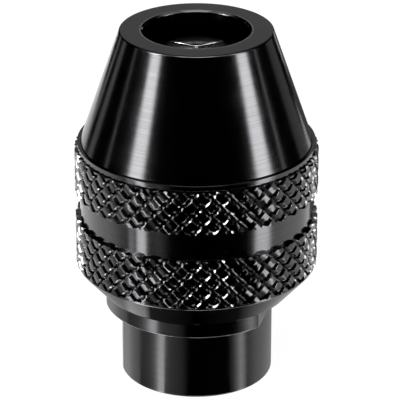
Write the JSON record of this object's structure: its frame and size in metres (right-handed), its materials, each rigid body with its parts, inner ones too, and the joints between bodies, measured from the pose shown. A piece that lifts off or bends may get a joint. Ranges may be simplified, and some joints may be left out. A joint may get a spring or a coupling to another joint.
{
  "type": "keyless drill chuck",
  "caption": "Small keyless chuck for rotary tools: knurled sleeve with a conical nose, self-centring jaws and a threaded hub for the tool's spindle.",
  "frame": {"origin": "centre of the hub's rear face, on the chuck's axis", "axes": "+Z along the chuck's axis towards the nose; -Y towards the gap between jaw_2 and jaw_3, so jaw_1 faces +Y"},
  "size_m": [0.019, 0.019, 0.0286],
  "materials": {
    "nose_black_steel": "turned steel blackened glossy, fine lathe lines around the cone",
    "sleeve_black_steel": "diamond-knurled steel blackened glossy, plain turned groove between the knurled bands",
    "hub_black_steel": "turned steel blackened glossy",
    "jaw_black_steel": "ground hardened steel, blackened, bright worn edges",
    "inner_steel": "turned steel, oiled",
    "race_steel": "ground hardened steel",
    "ball_steel": "polished bearing steel",
    "cage_brass": "stamped brass",
    "spring_steel": "drawn spring wire",
    "ring_steel": "phosphated spring steel"
  },
  "bodies": {
    "hub": {"spindle_hub": "hub_black_steel", "stop_ring": "ring_steel", "thrust_race": "race_steel"},
    "ball_ring": {"ball_cage": "cage_brass", "ball_01": "ball_steel", "ball_02": "ball_steel", "ball_03": "ball_steel", "ball_04": "ball_steel", "ball_05": "ball_steel", "ball_06": "ball_steel", "ball_07": "ball_steel", "ball_08": "ball_steel", "ball_09": "ball_steel", "ball_10": "ball_steel", "ball_11": "ball_steel", "ball_12": "ball_steel"},
    "jaw_carrier": {"jaw_plate": "inner_steel", "jaw_spring_1": "spring_steel", "jaw_spring_2": "spring_steel", "jaw_spring_3": "spring_steel"},
    "sleeve": {"nose_cone": "nose_black_steel", "grip_sleeve": "sleeve_black_steel"},
    "jaw_a": {"jaw_1": "jaw_black_steel"},
    "jaw_b": {"jaw_2": "jaw_black_steel"},
    "jaw_c": {"jaw_3": "jaw_black_steel"}
  },
  "joints": [
    {"name": "chuck_turn", "type": "hinge", "parent": "hub", "child": "jaw_carrier", "pos_m": [0, 0, 0], "axis": [0, 0, 1], "range_deg": [0, 1235]},
    {"name": "bearing_roll", "type": "hinge", "parent": "hub", "child": "ball_ring", "pos_m": [0, 0, 0], "axis": [0, 0, 1], "range_deg": [0, 618]},
    {"name": "sleeve_feed", "type": "slide", "parent": "jaw_carrier", "child": "sleeve", "axis": [0, 0, 1], "range_m": [0, 0.00343]},
    {"name": "jaw_a_slide", "type": "slide", "parent": "jaw_carrier", "child": "jaw_a", "axis": [0, 1, 0], "range_m": [0, 0.0016], "deforming": ["jaw_spring_1"]},
    {"name": "jaw_b_slide", "type": "slide", "parent": "jaw_carrier", "child": "jaw_b", "axis": [-0.866, -0.5, 0], "range_m": [0, 0.0016], "deforming": ["jaw_spring_2"]},
    {"name": "jaw_c_slide", "type": "slide", "parent": "jaw_carrier", "child": "jaw_c", "axis": [0.866, -0.5, 0], "range_m": [0, 0.0016], "deforming": ["jaw_spring_3"]}
  ],
  "couplings": [
    {"joint": "chuck_turn", "follows": "sleeve_feed", "rad_per_m": 6283.2},
    {"joint": "bearing_roll", "follows": "sleeve_feed", "rad_per_m": 3141.6},
    {"joint": "jaw_a_slide", "follows": "sleeve_feed", "ratio": 0.46631},
    {"joint": "jaw_b_slide", "follows": "sleeve_feed", "ratio": 0.46631},
    {"joint": "jaw_c_slide", "follows": "sleeve_feed", "ratio": 0.46631}
  ]
}
